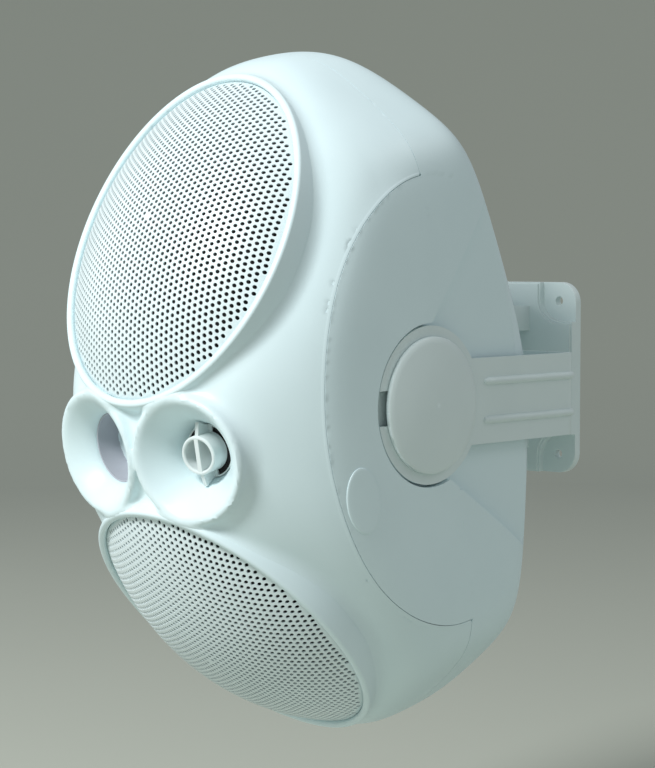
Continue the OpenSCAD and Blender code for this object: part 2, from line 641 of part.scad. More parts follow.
// Pivot stacks, one on each side, outwards from the floor of the recess
module at_each_pivot(tilted)
  for (s = [-1, 1]) {
    if (tilted) in_cabinet_pivot() to_side(s) children();
    else at_pivot() to_side(s) children();
  }
module friction_washers() color([0.1, 0.1, 0.1]) at_each_pivot(true)
  ring(bush_r + 0.35, 38.2, recess_floor + 0.05, recess_floor + 0.05 + friction_t);
module pivot_bushes() color([0.6, 0.6, 0.62]) at_each_pivot(true)
  ring(clamp_screw_r + fit_gap, bush_r, recess_floor - boss_len, arm_out - seat_gap);
module clamp_screws() color([0.55, 0.55, 0.57]) at_each_pivot(true) {
  z1 = arm_out + clamp_washer_t + 0.2;
  translate([0, 0, recess_floor - boss_len - 4])
    cylinder(r = clamp_screw_r, h = z1 + 0.2 - recess_floor + boss_len + 4);
  difference() {
    translate([0, 0, z1]) cylinder(r = 7, h = 2.2);
    translate([0, 0, z1 + 0.8]) cylinder(r = 2.5, h = 4, $fn = 6);
  }
}
module clamp_washers() color([0.6, 0.6, 0.62]) at_each_pivot(false)
  ring(clamp_screw_r + seat_gap, 16, arm_out + 0.05, arm_out + 0.05 + clamp_washer_t);
module pivot_covers() color([0.91, 0.92, 0.93]) at_each_pivot(false)
  translate([0, 0, arm_out + 0.05]) rotate_extrude() polygon(concat(
    [[17, 0], [cover_r, 0], [cover_r, cover_edge - 0.7], [cover_r - 0.2, cover_edge - 0.25],
      [cover_r - 0.7, cover_edge]],
    [for (i = [1:5]) [(cover_r - 0.7)*(1 - i/6), cover_edge + cover_rise*(1 - pow(1 - i/6, 2))]],
    [[0, cover_edge + cover_rise], [0, cover_edge + cover_rise - 1.2],
      [12, cover_edge + 1.4], [17, cover_edge + 0.6]]));

// Yoke and wall plate
module round_rect(w, h, r) {
  square([w - 2*r, h], center = true);
  square([w, h - 2*r], center = true);
  for (x = [-1, 1]) for (y = [-1, 1]) translate([x*(w/2 - r), y*(h/2 - r)]) circle(r = r);
}
module yoke_outline(grow) {
  r = 8 + grow;
  out = arm_out + grow;
  back = -pivot_out + yoke_reach + grow;
  translate([-out, -pivot_out]) square([2*out, yoke_reach + grow - r]);
  translate([-out + r, -pivot_out]) square([2*out - 2*r, yoke_reach + grow]);
  for (x = [-1, 1]) translate([x*(out - r), back - r]) circle(r = r);
}
module rib(s, z) translate([0, 0, z]) {
  x = s*(arm_out - 0.1);
  y = -pivot_out + yoke_reach;
  translate([x, -pivot_out + 46, 0]) rotate([-90, 0, 0]) cylinder(r = 1.6, h = yoke_reach - 54);
  translate([x, -pivot_out + 46, 0]) sphere(r = 1.6);
  intersection() {
    translate([s*(arm_out - 8), y - 8, 0]) rotate_extrude() translate([7.9, 0]) circle(r = 1.6);
    translate([s > 0 ? arm_out - 8 : -arm_out - 2, y - 8, -5]) cube([10, 10, 10]);
  }
  translate([s*(arm_out - 8), y - 0.1, 0]) sphere(r = 1.6);
}
module yoke() color([0.9, 0.91, 0.92]) difference() {
  union() {
    translate([0, 0, -pivot_drop - arm_h/2]) linear_extrude(height = arm_h) difference() {
      yoke_outline(0);
      translate([0, -0.01]) yoke_outline(-yoke_t);
      translate([-120, -pivot_out - 1]) square([240, 1]);
    }
    at_pivot() for (s = [-1, 1]) to_side(s) translate([0, 0, arm_in]) cylinder(r = head_r, h = yoke_t);
    for (s = [-1, 1]) for (z = [-1, 1]) rib(s, -pivot_drop + z*10.3);
    translate([0, -pan_out, -lug_gap/2 + hub_gap]) cylinder(r = hub_r, h = lug_gap - 2*hub_gap);
    translate([-13, -pivot_out + yoke_reach - 1, -25])
      cube([26, pivot_out - yoke_reach - pan_out + 1, 41]);
  }
  at_pivot() for (s = [-1, 1]) to_side(s) translate([0, 0, arm_in - 1]) {
    cylinder(r = slot_w/2, h = yoke_t + 2);
    translate([-slot_w/2, -head_r - 5, 0]) cube([slot_w, head_r + 5, yoke_t + 2]);
  }
  translate([0, -pan_out, -60]) cylinder(r = pan_pin_r + fit_gap, h = 120);
}
module pan_pin() color([0.6, 0.6, 0.62]) translate([0, -pan_out, 0]) {
  lug_top = lug_gap/2 + lug_h;
  translate([0, 0, -lug_top - 9]) cylinder(r = pan_pin_r, h = 2*lug_top + 9.2);
  difference() {
    translate([0, 0, lug_top + 0.1]) cylinder(r = 9, h = 4);
    translate([0, 0, lug_top + 2]) cylinder(r = 3, h = 4, $fn = 6);
  }
}
module pan_nut() color([0.6, 0.6, 0.62])
  translate([0, -pan_out, -lug_gap/2 - lug_h - 0.1 - 7]) difference() {
    cylinder(r = 9, h = 7, $fn = 6);
    translate([0, 0, -1]) cylinder(r = pan_pin_r + fit_gap, h = 9);
  }

// Slab of the wall plate between two distances from the wall
module wall_slab(y0, y1) translate([0, -y0, 0]) rotate([90, 0, 0])
  linear_extrude(height = y1 - y0) children();
module plate_field(inset) difference() {
  round_rect(plate_w - 2*inset, plate_h - 2*inset, 12 - inset);
  for (x = [-1, 1]) for (z = [-1, 1]) {
    w = pocket_w + inset;
    translate([x*plate_w/2, z*plate_h/2]) {
      square([2*(w - 14), 2*w], center = true);
      square([2*w, 2*(w - 14)], center = true);
      translate([-x*(w - 14), -z*(w - 14)]) circle(r = 14);
    }
  }
}
module wall_plate() color([0.92, 0.93, 0.94]) difference() {
  union() {
    wall_slab(0, pocket_floor) round_rect(plate_w, plate_h, 12);
    wall_slab(pocket_floor - 1, plate_t - 1) plate_field(0);
    wall_slab(plate_t - 1.5, plate_t) plate_field(1);
    for (z = [-1, 1]) intersection() {
      translate([0, -lug_out, z > 0 ? lug_gap/2 : -lug_gap/2 - lug_h]) cylinder(r = lug_r, h = lug_h);
      translate([-40, -60, -60]) cube([80, 55, 120]);
    }
  }
  wall_slab(-1, plate_t - 3) difference() {
    plate_field(3);
    for (x = [-30, 0, 30]) translate([x, 0]) square([2.4, 200], center = true);
    for (y = [-30, 0, 30]) translate([0, y]) square([200, 2.4], center = true);
  }
  for (x = [-1, 1]) for (z = [-1, 1]) translate([x*screw_pitch/2, 1, z*screw_pitch/2])
    rotate([90, 0, 0]) cylinder(r = screw_hole_d/2, h = 30);
  translate([0, -pan_out, -60]) cylinder(r = pan_pin_r + fit_gap, h = 120);
}

wall_plate();
pan_pin();
pan_nut();
yoke();
pivot_covers();
front_baffle();
rear_shell();
side_disc();
upper_grille();
lower_grille();
friction_washers();
pivot_bushes();
clamp_screws();
clamp_washers();
upper_basket();
lower_basket();
upper_top_plate();
lower_top_plate();
upper_magnet();
lower_magnet();
upper_pole_piece();
lower_pole_piece();
upper_voice_coil();
lower_voice_coil();
upper_cone();
lower_cone();
upper_dust_cap();
lower_dust_cap();
upper_surround();
lower_surround();
upper_spider();
lower_spider();
woofer_gaskets();
woofer_screws();
port_tube();
phase_plug();
tweeter_body();
tweeter_dome();
tweeter_screws();
terminal_cup();
red_terminal_tab();
black_terminal_tab();
terminal_contacts();
crossover_board();
crossover_coils();
crossover_capacitors();
board_screws();
shell_screws();
terminal_screws();
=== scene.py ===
"""Looks of the wall loudspeaker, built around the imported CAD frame.

The two mouldings of the cabinet are skinned from distance fields. The cabinet is the set of points
where sum(max(0, n.p / h) ** 17) over a list of planes is below 1. Bezels and the cups of the horn and
the port are joined to it with smooth unions, and seams, recesses and seats are cut out of it. Every
field is in millimetres in the cabinet's own frame, which turns with the tilt. The two skins are outer
forms only: unlike the CAD's mouldings they are solid inside, and the rear one has no opening for the
terminal cup and no screw wells, so the terminals are hidden. The grilles are flat patterns of holes
laid on an ellipsoidal dome. Everything else is the CAD's own mesh, some of it with rounded edges.
"""
import json
import math

import bmesh
import bpy
import numpy as np
from mathutils import Matrix, Vector
from mathutils.geometry import delaunay_2d_cdt


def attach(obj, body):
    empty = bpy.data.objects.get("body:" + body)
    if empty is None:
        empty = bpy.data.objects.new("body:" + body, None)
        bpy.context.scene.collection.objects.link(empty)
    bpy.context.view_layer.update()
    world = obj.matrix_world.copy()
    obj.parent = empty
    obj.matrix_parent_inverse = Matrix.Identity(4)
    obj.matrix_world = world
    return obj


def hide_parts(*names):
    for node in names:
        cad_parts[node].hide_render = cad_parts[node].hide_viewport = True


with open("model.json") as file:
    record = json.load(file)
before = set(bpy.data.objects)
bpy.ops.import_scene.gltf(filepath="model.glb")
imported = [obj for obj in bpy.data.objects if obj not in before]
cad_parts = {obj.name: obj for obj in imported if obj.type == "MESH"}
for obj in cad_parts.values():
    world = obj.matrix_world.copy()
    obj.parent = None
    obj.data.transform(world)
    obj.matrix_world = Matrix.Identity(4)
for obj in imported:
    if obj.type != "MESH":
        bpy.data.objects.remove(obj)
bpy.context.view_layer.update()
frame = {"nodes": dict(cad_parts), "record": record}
MM = 0.001

# Sizes in millimetres, the same as the CAD's
TILT = math.radians(10.6)
PIVOT = np.array([0.0, -179.2, -5.0])
PIVOT_IN_CABINET = np.array([0.0, -9.0, 1.9])
SLOPE = math.radians(35)
HARDNESS = 17
GRILLE_A, GRILLE_B, GRILLE_UP, RIM = 71.2, 88.7, 37.6, 125.5
DOME, SHEET, SEAT_FLOOR, EDGE_GAP = 26.0, 0.9, 113.0, 0.6
HORN_X, HORN_Y, HORN_SPLAY = 32.9, 131.7, math.radians(9.7)
HORN_R, THROAT_R, HORN_DEPTH = 32.9, 14.0, 24.0
PORT_R, PORT_MOUTH = 18.4, 13.6
SEAM_Y, SEAM_GAP, CHEEK_LEN, CHEEK_HALF = 6.0, 0.3, 91.5, 118.5
SIDE_DROP, SIDE_REACH, SIDE_FADE = 1.5, 36.0, 30.0
RECESS_FLOOR, RECESS_R, SWING, SWING_OFF = 85.3, 42.4, math.radians(42), 25.5


def deg(*angles):
    return [math.radians(a) for a in angles]


def cabinet_planes():
    """Unit normals and distances of the planes that give the cabinet its form."""
    c, s = math.cos(SLOPE), math.sin(SLOPE)
    flank, waist, corner, rear, side = deg(36, 48.1, 46.8, 19, 71.4)
    out = [((0, -1, 0), 131.0), ((0, 1, 0), 97.0), ((1, 0, 0), 91.5), ((-1, 0, 0), 91.5)]
    for z in (1, -1):
        out.append(((0, 0, z), 187.4))
        out.append(((0, -c, z * s), 127.5))
        out.append(((0, math.cos(rear), z * math.sin(rear)), 95.0))
    for x in (1, -1):
        out.append(((x * math.sin(waist), -math.cos(waist), 0), 127.4))
        out.append(((x * math.sin(side), math.cos(side), 0), 106.6))
        for z in (1, -1):
            out.append(((x * math.cos(corner), 0, z * math.sin(corner)), 158.0))
            f = math.cos(flank)
            out.append(((x * math.sin(flank), -f * c, z * f * s), 136.0))
    normals = np.array([n for n, _ in out])
    return normals, np.array([h for _, h in out])


PLANE_N, PLANE_H = cabinet_planes()
PLANE_W = PLANE_N / PLANE_H[:, None]


def body(p):
    """Distance to the rounded cabinet, to first order."""
    t = np.maximum(p @ PLANE_W.T, 0)
    t2 = t * t
    t4 = t2 * t2
    t8 = t4 * t4
    t16 = t8 * t8
    total = (t16 * t).sum(1) ** (1 / HARDNESS)
    slope = np.linalg.norm(t16 @ PLANE_W, axis=1) / np.maximum(total, 1e-6) ** 16
    return (total - 1) / np.maximum(slope, 1e-4)


def smin(a, b, k):
    h = np.maximum(k - np.abs(a - b), 0) / k
    return np.minimum(a, b) - h * h * k / 4


def smax(a, b, k):
    return -smin(-a, -b, k)


def ellipse(u, v, a, b):
    """Distance to an ellipse, to first order."""
    k0 = np.sqrt((u / a) ** 2 + (v / b) ** 2)
    k1 = np.sqrt((u / a**2) ** 2 + (v / b**2) ** 2)
    return k0 * (k0 - 1) / np.maximum(k1, 1e-9)


def rounded(dx, dz, r):
    """Corner of two half spaces, rounded by r."""
    qx, qz = dx + r, dz + r
    return np.hypot(np.maximum(qx, 0), np.maximum(qz, 0)) + np.minimum(np.maximum(qx, qz), 0) - r


def face_axes(s):
    c, k = math.cos(SLOPE), math.sin(SLOPE)
    return np.array([0, s * k, c]), np.array([0, -c, s * k])


def on_face(p, s):
    """Coordinates on the upper (1) or lower (-1) grille: across, along and out."""
    up, out = face_axes(s)
    return p[:, 0], p @ up - s * GRILLE_UP, p @ out


def horn_axes(s):
    k, c = math.sin(s * HORN_SPLAY), math.cos(HORN_SPLAY)
    return np.array([s * HORN_X, -HORN_Y, 0]), np.array([c, k, 0]), np.array([k, -c, 0])


def on_horn(p, s):
    """Radius round a mouth's axis and distance in front of it: 1 the horn, -1 the port."""
    at, right, out = horn_axes(s)
    q = p - at
    return np.hypot(q @ right, q[:, 2]), q @ out


def bezel(p, s):
    u, v, w = on_face(p, s)
    d = ellipse(u, v, GRILLE_A, GRILLE_B)
    ring = rounded(np.abs(d - 2.4) - 1.7, w - RIM - 1.3, 1.3)
    return np.maximum(ring, 80 - w)


def cup(p, s):
    r, z = on_horn(p, s)
    return np.maximum(rounded(r - HORN_R - 0.1 * np.maximum(-z - 5, 0), z, 3.0), -29 - z)


def flared_air(p, s, inner, depth, power, bore):
    """Air of a mouth: a flare of that depth which ends in a bore."""
    r, z = on_horn(p, s)
    t = np.clip(1 + z / depth, 0, 1)
    grow = HORN_R - 3 - inner
    flare = inner + grow * t**power + np.clip(0.95 * z, 0, 2.4)
    slope = grow * power / depth * t ** (power - 1)
    wall = (r - flare) / np.sqrt(1 + slope**2)
    return np.minimum(np.maximum(wall, -depth - z), np.maximum(r - bore, -27 - z))


def mouth_air(p, s):
    if s > 0:
        return flared_air(p, s, THROAT_R, HORN_DEPTH, 1.5, 12.5)
    return flared_air(p, s, PORT_R, PORT_MOUTH, 1.5, PORT_R)


def dome_height(u, v):
    """Height of a grille's dome over its rim at a place on the flat pattern."""
    r = (GRILLE_A**2 + DOME**2) / (2 * DOME)
    rho = np.hypot(u, v * GRILLE_A / GRILLE_B)
    return np.sqrt(np.maximum(r * r - rho * rho, 0)) - (r - DOME)


def tray(p, s):
    u, v, w = on_face(p, s)
    return np.maximum(ellipse(u, v, GRILLE_A, GRILLE_B) - EDGE_GAP, SEAT_FLOOR - w)


def seam_ellipse(p):
    return ellipse(p[:, 1] - SEAM_Y, p[:, 2], CHEEK_LEN, CHEEK_HALF)


def low_tray(p, s):
    """The grille's own space, which the lips of the mouths reach over."""
    u, v, w = on_face(p, s)
    return np.maximum(tray(p, s), w - RIM - dome_height(u, v) - 0.7)


def side_drop(p):
    """How far the front moulding's side turns in from the cheek, outside the seam."""
    t = np.clip(seam_ellipse(p) / SIDE_REACH, 0, 1)
    fade = np.clip((SEAM_Y - p[:, 1]) / SIDE_FADE, 0, 1)
    # 6.75 makes the highest value of t (1 - t)^2, at a third of the reach, equal 1
    return SIDE_DROP * fade * 6.75 * t * (1 - t) ** 2


def front_form(p):
    f = body(p) + side_drop(p)
    for s in (1, -1):
        f = smin(f, bezel(p, s), 5)
    for s in (1, -1):
        f = np.maximum(f, -tray(p, s))
    cups = smin(cup(p, 1), cup(p, -1), 1.5)
    for s in (1, -1):
        cups = np.maximum(cups, -low_tray(p, s))
    f = smin(f, cups, 5)
    for s in (1, -1):
        f = smax(f, -mouth_air(p, s), 2.2)
    return f


def front_seam(p):
    return np.maximum(p[:, 1] - SEAM_Y + SEAM_GAP, SEAM_GAP - seam_ellipse(p))


def front_baffle(p):
    return np.maximum(front_form(p), front_seam(p))


def recess_side(p):
    """Outside of the round pocket and the wedge behind it, seen from the side."""
    y, z = p[:, 1] - PIVOT_IN_CABINET[1], p[:, 2] - PIVOT_IN_CABINET[2]
    ring = np.hypot(y, z) - RECESS_R
    wedge = np.abs(z) * math.cos(SWING) - y * math.sin(SWING) - SWING_OFF
    return np.minimum(ring, np.maximum(wedge, -y - 20))


def recess_floor(p):
    return np.abs(p[:, 0]) - RECESS_FLOOR


def recess(p):
    return np.maximum(-recess_floor(p), recess_side(p))


def rear_seam(p):
    return np.minimum(SEAM_Y - p[:, 1], seam_ellipse(p))


def rear_shell(p):
    return np.maximum(np.maximum(body(p), -recess(p)), rear_seam(p))


def gradient(field, p, e=0.02):
    g = np.empty_like(p)
    for i in range(3):
        d = np.zeros(3)
        d[i] = e
        g[:, i] = (field(p + d) - field(p - d)) / (2 * e)
    return g


def settle(field, p, rounds=4, reach=2.0):
    """Newton steps along the gradient onto the surface."""
    p = p.copy()
    for _ in range(rounds):
        g = gradient(field, p)
        move = field(p)[:, None] * g / np.maximum((g * g).sum(1), 1e-6)[:, None]
        size = np.linalg.norm(move, axis=1)[:, None]
        p -= move * np.minimum(1, reach / np.maximum(size, 1e-9))
    return p


def settle_on_edge(one, two, p, rounds=5):
    """Newton steps onto the curve where two fields are both zero."""
    p = p.copy()
    for _ in range(rounds):
        g = np.stack([gradient(one, p), gradient(two, p)], 1)
        f = np.stack([one(p), two(p)], 1)
        gram = g @ g.transpose(0, 2, 1) + 1e-6 * np.eye(2)
        p -= np.einsum("nij,ni->nj", g, np.linalg.solve(gram, f[:, :, None])[:, :, 0])
    return p


CORNERS = np.array([(i, j, k) for i in (0, 1) for j in (0, 1) for k in (0, 1)])


def surface_nets(field, lo, hi, step):
    """One vertex for each grid cell that the surface crosses, and one quad for each grid edge."""
    n = np.ceil((np.array(hi) - lo) / step).astype(int) + 1
    axes = [lo[i] + step * np.arange(n[i]) for i in range(3)]
    value = np.empty(n)
    yz = np.stack(np.meshgrid(axes[1], axes[2], indexing="ij"), -1).reshape(-1, 2)
    for i, x in enumerate(axes[0]):
        value[i] = field(np.column_stack([np.full(len(yz), x), yz])).reshape(n[1:])
    inside = value < 0
    count = sum(
        inside[i : n[0] - 1 + i, j : n[1] - 1 + j, k : n[2] - 1 + k].astype(np.int8)
        for i, j, k in CORNERS
    )
    cells = np.argwhere((count > 0) & (count < 8))
    ids = np.full(n - 1, -1)
    ids[tuple(cells.T)] = np.arange(len(cells))
    total, hits = np.zeros((len(cells), 3)), np.zeros(len(cells))
    for a in CORNERS:
        for axis in range(3):
            if a[axis]:
                continue
            b = a.copy()
            b[axis] = 1
            va, vb = value[tuple((cells + a).T)], value[tuple((cells + b).T)]
            cross = (va < 0) != (vb < 0)
            t = np.where(cross, va / np.where(cross, va - vb, 1), 0)
            total += cross[:, None] * (a + t[:, None] * (b - a))
            hits += cross
    points = lo + step * (cells + total / hits[:, None])
    quads = []
    for axis in range(3):
        o1, o2 = [(axis + 1) % 3, (axis + 2) % 3]
        first = [slice(None)] * 3
        second = [slice(None)] * 3
        first[axis], second[axis] = slice(0, -1), slice(1, None)
        a, b = inside[tuple(first)], inside[tuple(second)]
        for out in (True, False):
            e = np.argwhere((a == out) & (b != out))
            e = e[(e[:, o1] > 0) & (e[:, o2] > 0)]
            ring = []
            for d1, d2 in ((1, 1), (0, 1), (0, 0), (1, 0)):
                c = e.copy()
                c[:, o1] -= d1
                c[:, o2] -= d2
                ring.append(ids[tuple(c.T)])
            q = np.column_stack(ring)
            quads.append(q if out else q[:, ::-1])
    return points, np.vstack(quads)


def even_out(points, quads, fixed, amount=0.5):
    """Moves each free point towards the middle of its neighbours."""
    total, hits = np.zeros_like(points), np.zeros(len(points))
    for i in range(4):
        a, b = quads[:, i], quads[:, (i + 1) % 4]
        for c, d in ((a, b), (b, a)):
            for k in range(3):
                total[:, k] += np.bincount(c, points[d, k], len(points))
            hits += np.bincount(c, minlength=len(points))
    moved = points + amount * (total / np.maximum(hits, 1)[:, None] - points)
    moved[fixed] = points[fixed]
    return moved


def skin(field, edges, lo, hi, step):
    """Closed quad mesh of a field, with its vertices drawn onto the listed sharp edges."""
    points, quads = surface_nets(field, np.array(lo, float), np.array(hi, float), step)
    fixed = np.zeros(len(points), bool)
    for limit in (0.9, 0.55):
        for one, two in edges:
            near = np.where((np.abs(one(points)) < step) & (np.abs(two(points)) < step) & ~fixed)[0]
            if not len(near):
                continue
            q = settle_on_edge(one, two, points[near])
            gone = np.linalg.norm(q - points[near], axis=1)
            good = (gone < limit * step) & (np.abs(field(q)) < 0.04)
            points[near[good]] = q[good]
            fixed[near[good]] = True
        free = ~fixed
        points[free] = settle(field, points[free])
        for _ in range(2):
            points = even_out(points, quads, fixed)
            points[free] = settle(field, points[free], 2)
    return points, quads


def bezel_sweep(s, turns=320):
    """Crisp rounded lip round a grille: a closed profile swept along the ellipse."""
    profile = [(0.35, SEAT_FLOOR + 1.0)]
    for a in np.linspace(0, math.pi / 2, 6):
        profile.append((1.85 - 1.5 * math.cos(a), RIM + 0.7 + 1.5 * math.sin(a)))
    for a in np.linspace(0, math.pi / 2, 6):
        profile.append((2.75 + 1.7 * math.sin(a), RIM + 0.5 + 1.7 * math.cos(a)))
    profile.append((4.45, SEAT_FLOOR + 1.0))
    t = np.linspace(0, 2 * math.pi, turns, endpoint=False)
    rim = np.column_stack([GRILLE_A * np.cos(t), GRILLE_B * np.sin(t)])
    out = np.column_stack([np.cos(t) / GRILLE_A, np.sin(t) / GRILLE_B])
    out /= np.linalg.norm(out, axis=1)[:, None]
    up, outward = face_axes(s)
    rings = []
    for d, w in profile:
        uv = rim + d * out
        along = up * (s * GRILLE_UP) + outward * w
        rings.append(along + uv[:, :1] * np.array([1.0, 0, 0]) + uv[:, 1:] * up)
    k, n = np.arange(turns), len(rings)
    quads = []
    for i in range(n):
        a, b = i * turns, (i + 1) % n * turns
        quads.append(np.column_stack([a + k, a + (k + 1) % turns, b + (k + 1) % turns, b + k]))
    quads = np.vstack(quads)
    return np.vstack(rings), quads if s > 0 else quads[:, ::-1]


# Distance out from the seam and height over the surface
SEAM_PROFILE = [(SEAM_GAP, 0.0), (0.45, 0.04), (1.0, 0.04), (1.7, 0.04), (2.4, -0.2), (1.4, -3)]


def seam_edge(s, turns=260):
    """Crisp edge of the front moulding along the cheek: a closed strip swept along the seam."""
    t = np.linspace(math.radians(90.7), math.radians(269.3), turns)
    rim = np.column_stack([SEAM_Y + CHEEK_LEN * np.cos(t), CHEEK_HALF * np.sin(t)])
    out = np.column_stack([np.cos(t) / CHEEK_LEN, np.sin(t) / CHEEK_HALF])
    out /= np.linalg.norm(out, axis=1)[:, None]
    rings = []
    for d, lift in SEAM_PROFILE:
        yz = rim + d * out
        p = np.column_stack([np.full(turns, 90.0), yz])
        for _ in range(12):
            p[:, 0] -= 0.9 * front_form(p)
        p[:, 0] = s * (p[:, 0] + lift)
        rings.append(p)
    n, k = len(rings), np.arange(turns - 1)
    quads = []
    for i in range(n):
        a, b = i * turns, (i + 1) % n * turns
        quads.append(np.column_stack([a + k, a + k + 1, b + k + 1, b + k]))
    first = turns * np.array([(3, 2, 1, 0), (5, 4, 3, 0)])
    last = (first + turns - 1)[:, ::-1]
    quads = np.vstack(quads + [first, last])
    return np.vstack(rings), quads if s < 0 else quads[:, ::-1]


def cabinet_to_row(p):
    q = p - PIVOT_IN_CABINET
    c, s = math.cos(TILT), math.sin(TILT)
    return np.column_stack([q[:, 0], c * q[:, 1] - s * q[:, 2], s * q[:, 1] + c * q[:, 2]]) + PIVOT


def add_mesh(name, points, faces, material, smooth=True, sharp=None):
    """New object from millimetre points in the row's frame and a list or array of faces."""
    mesh = bpy.data.meshes.new(name)
    points = np.asarray(points, float) * MM
    if isinstance(faces, np.ndarray):
        count, size = faces.shape
        mesh.vertices.add(len(points))
        mesh.vertices.foreach_set("co", points.ravel())
        mesh.loops.add(count * size)
        mesh.loops.foreach_set("vertex_index", faces.ravel().astype(np.int32))
        mesh.polygons.add(count)
        mesh.polygons.foreach_set("loop_start", np.arange(0, count * size, size, dtype=np.int32))
    else:
        mesh.from_pydata([tuple(p) for p in points], [], [tuple(f) for f in faces])
    mesh.update(calc_edges=True)
    mesh.validate()
    mesh.polygons.foreach_set("use_smooth", [smooth] * len(mesh.polygons))
    if sharp is not None:
        mesh.set_sharp_from_angle(angle=math.radians(sharp))
    mesh.materials.append(material)
    obj = bpy.data.objects.new(name, mesh)
    bpy.context.scene.collection.objects.link(obj)
    return obj


# ---------------------------------------------------------------- materials


class Shader:
    """Small helper that wires one node material."""

    def __init__(self, name):
        self.mat = bpy.data.materials.new(name)
        self.mat.use_nodes = True
        self.tree = self.mat.node_tree
        self.bsdf = self.tree.nodes["Principled BSDF"]

    def node(self, kind, **values):
        n = self.tree.nodes.new(kind)
        for key, value in values.items():
            if key.startswith("_"):
                setattr(n, key[1:], value)
            else:
                n.inputs[key.replace("_", " ")].default_value = value
        return n

    def link(self, a, b):
        self.tree.links.new(a, b)

    def coords(self):
        return self.node("ShaderNodeTexCoord").outputs["Object"]

    def noise(self, scale, detail=4.0, roughness=0.5):
        n = self.node("ShaderNodeTexNoise", Scale=scale, Detail=detail, Roughness=roughness)
        self.link(self.coords(), n.inputs["Vector"])
        return n.outputs["Fac"]

    def remap(self, value, a, b, lo, hi):
        n = self.node("ShaderNodeMapRange")
        for key, v in (("From Min", a), ("From Max", b), ("To Min", lo), ("To Max", hi)):
            n.inputs[key].default_value = v
        self.link(value, n.inputs["Value"])
        return n.outputs["Result"]

    def bump(self, height, strength, distance):
        n = self.node("ShaderNodeBump", Strength=strength, Distance=distance)
        self.link(height, n.inputs["Height"])
        self.link(n.outputs["Normal"], self.bsdf.inputs["Normal"])

    def mix(self, fac, a, b):
        n = self.node("ShaderNodeMix", _data_type="RGBA")
        n.inputs["A"].default_value = (*a, 1)
        n.inputs["B"].default_value = (*b, 1)
        self.link(fac, n.inputs["Factor"])
        self.link(n.outputs["Result"], self.bsdf.inputs["Base Color"])


def plastic(name, color, shade, roughness, grain=2400.0, depth=0.00004, wear=0.06):
    """Moulded plastic: faint cloudiness, uneven gloss and a fine spark-eroded grain."""
    m = Shader(name)
    m.mix(m.remap(m.noise(22, 3), 0.35, 0.7, 0, 1), color, shade)
    m.link(m.remap(m.noise(60, 5), 0.3, 0.7, roughness - wear, roughness + wear), m.bsdf.inputs["Roughness"])
    m.bump(m.noise(grain, 2, 0.6), 0.25, depth)
    return m.mat


def metal(name, color, shade, roughness, metallic=1.0, grain=3000.0):
    m = Shader(name)
    m.bsdf.inputs["Metallic"].default_value = metallic
    m.mix(m.remap(m.noise(180, 5), 0.35, 0.7, 0, 1), color, shade)
    m.link(m.remap(m.noise(500, 5), 0.3, 0.7, roughness - 0.08, roughness + 0.1), m.bsdf.inputs["Roughness"])
    m.bump(m.noise(grain, 2, 0.6), 0.2, 0.00003)
    return m.mat


WHITE = (0.71, 0.86, 0.89)
WHITE_SHADE = (0.69, 0.84, 0.87)
mats = {
    "cabinet_plastic": plastic("cabinet_plastic", WHITE, WHITE_SHADE, 0.42),
    "bracket_plastic": plastic("bracket_plastic", (0.71, 0.82, 0.82), (0.68, 0.79, 0.79), 0.36),
    "plug_plastic": plastic("plug_plastic", (0.72, 0.80, 0.80), (0.70, 0.78, 0.78), 0.4),
    "grille_steel": plastic("grille_steel", (0.73, 0.84, 0.86), (0.70, 0.81, 0.83), 0.4, 3200, 0.00003),
    "rubber": plastic("rubber", (0.02, 0.02, 0.021), (0.03, 0.03, 0.03), 0.7),
    "black_plastic": plastic("black_plastic", (0.022, 0.022, 0.024), (0.03, 0.03, 0.032), 0.45),
    "cone_plastic": plastic("cone_plastic", (0.02, 0.02, 0.022), (0.03, 0.03, 0.03), 0.55),
    "red_plastic": plastic("red_plastic", (0.55, 0.02, 0.02), (0.48, 0.015, 0.015), 0.3),
    "board": plastic("board", (0.03, 0.17, 0.08), (0.04, 0.2, 0.1), 0.35),
    "capacitor_film": plastic("capacitor_film", (0.05, 0.08, 0.3), (0.06, 0.1, 0.34), 0.25),
    "cloth": plastic("cloth", (0.5, 0.42, 0.25), (0.45, 0.36, 0.2), 0.85, 900, 0.0002),
    "basket_metal": metal("basket_metal", (0.03, 0.03, 0.03), (0.04, 0.04, 0.04), 0.5, 0.0),
    "ferrite": metal("ferrite", (0.05, 0.05, 0.055), (0.07, 0.07, 0.075), 0.6, 0.0),
    "steel": metal("steel", (0.62, 0.62, 0.63), (0.5, 0.5, 0.52), 0.32),
    "black_steel": metal("black_steel", (0.03, 0.03, 0.032), (0.05, 0.05, 0.05), 0.4, 0.6),
    "copper": metal("copper", (0.72, 0.33, 0.17), (0.6, 0.26, 0.12), 0.3),
    "contact_metal": metal("contact_metal", (0.8, 0.66, 0.36), (0.7, 0.58, 0.3), 0.28),
}
# The port's tube and liner are the cabinet's white plastic; this grey is painted shade for the inside of the
# port
port_painted_shade = plastic("port_painted_shade", (0.42, 0.44, 0.49), (0.39, 0.41, 0.46), 0.5)
# Black of the cloth behind the grilles, also used as painted shade on the plates in the horn's windows
scrim = plastic("scrim", (0.006, 0.006, 0.007), (0.012, 0.012, 0.012), 0.9, 1500, 0.0002)

slot_of = {s["node"]: s["material_slot"] for s in frame["record"]["subparts"]}
for node, obj in frame["nodes"].items():
    for m in obj.material_slots:
        m.material = mats[slot_of[node]]

own_looks = {
    "friction_washers": mats["bracket_plastic"],
    "tweeter_dome": mats["rubber"],
    # painted shade: the white port tube is coloured grey
    "port_tube": port_painted_shade,
}
for node, material in own_looks.items():
    for m in frame["nodes"][node].material_slots:
        m.material = material

# ---------------------------------------------------------------- cabinet mouldings

STEP = 1.75


def seam_plane_front(p):
    return p[:, 1] - SEAM_Y + SEAM_GAP


def seam_ellipse_front(p):
    return SEAM_GAP - seam_ellipse(p)


def seam_plane_rear(p):
    return SEAM_Y - p[:, 1]


